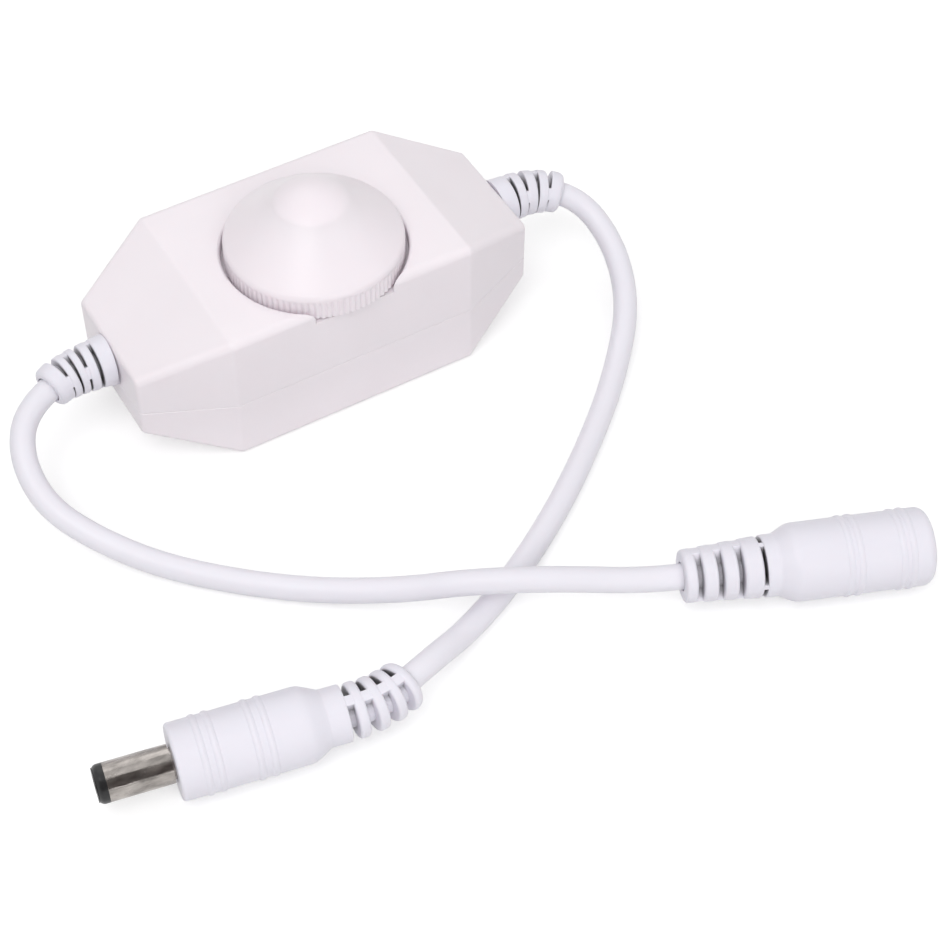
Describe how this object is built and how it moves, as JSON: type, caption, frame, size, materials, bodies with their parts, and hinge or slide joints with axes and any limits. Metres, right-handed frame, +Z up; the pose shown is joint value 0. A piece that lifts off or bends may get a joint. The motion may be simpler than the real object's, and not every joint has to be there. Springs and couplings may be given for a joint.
{
  "type": "inline cord dimmer",
  "caption": "White inline rotary dimmer for low-voltage lighting, with a conical knob, short cords, a coaxial DC socket and a coaxial DC plug.",
  "frame": {"origin": "centre of the housing's flat base, on the surface that it lies on", "axes": "+X along the housing towards the output cord, -Y towards the side where the knob stands nearer to the edge, +Z up along the knob's axis"},
  "size_m": [0.1228, 0.1066, 0.035],
  "materials": {
    "shell_plastic": "moulded white, satin gloss",
    "knob_plastic": "moulded white, satin gloss",
    "white_pvc": "soft white moulding, semi-gloss",
    "cord_jacket": "smooth white jacket",
    "nickel": "nickel plated",
    "contact_brass": "plain",
    "spring_metal": "tinned strip",
    "zinc_steel": "zinc plated",
    "black_plastic": "moulded black",
    "spindle_plastic": "moulded natural",
    "track_board": "printed resistive layer",
    "board": "solder mask",
    "can_aluminium": "drawn can",
    "chip_ceramic": "plain",
    "capacitor_ceramic": "plain",
    "solder": "bright solder",
    "red_insulation": "wire insulation",
    "black_insulation": "wire insulation"
  },
  "bodies": {
    "root": {"upper_shell": "shell_plastic", "lower_shell": "shell_plastic", "case_screws": "zinc_steel", "pot_base": "black_plastic", "pot_track": "track_board", "pot_bracket": "zinc_steel", "pot_terminals": "spring_metal", "circuit_board": "board", "timer_chip": "black_plastic", "power_transistor": "black_plastic", "capacitor": "can_aluminium", "diode": "black_plastic", "resistors": "chip_ceramic", "ceramic_capacitors": "capacitor_ceramic", "solder_joints": "solder", "input_wire_red": "red_insulation", "input_wire_black": "black_insulation", "output_wire_red": "red_insulation", "output_wire_black": "black_insulation", "input_relief": "white_pvc", "output_relief": "white_pvc", "input_cord": "cord_jacket", "output_cord": "cord_jacket", "plug_body": "white_pvc", "plug_barrel": "nickel", "plug_insulator": "black_plastic", "plug_contact": "contact_brass", "socket_body": "white_pvc", "socket_insulator": "black_plastic", "socket_pin": "nickel", "socket_spring": "spring_metal"},
    "knob": {"knob": "knob_plastic", "pot_spindle": "spindle_plastic", "pot_wiper": "spring_metal"}
  },
  "joints": [
    {"name": "knob_turn", "type": "hinge", "parent": "root", "child": "knob", "pos_m": [0, -0.0033, 0.0221], "axis": [0, 0, 1], "range_deg": [-140, 140]}
  ]
}
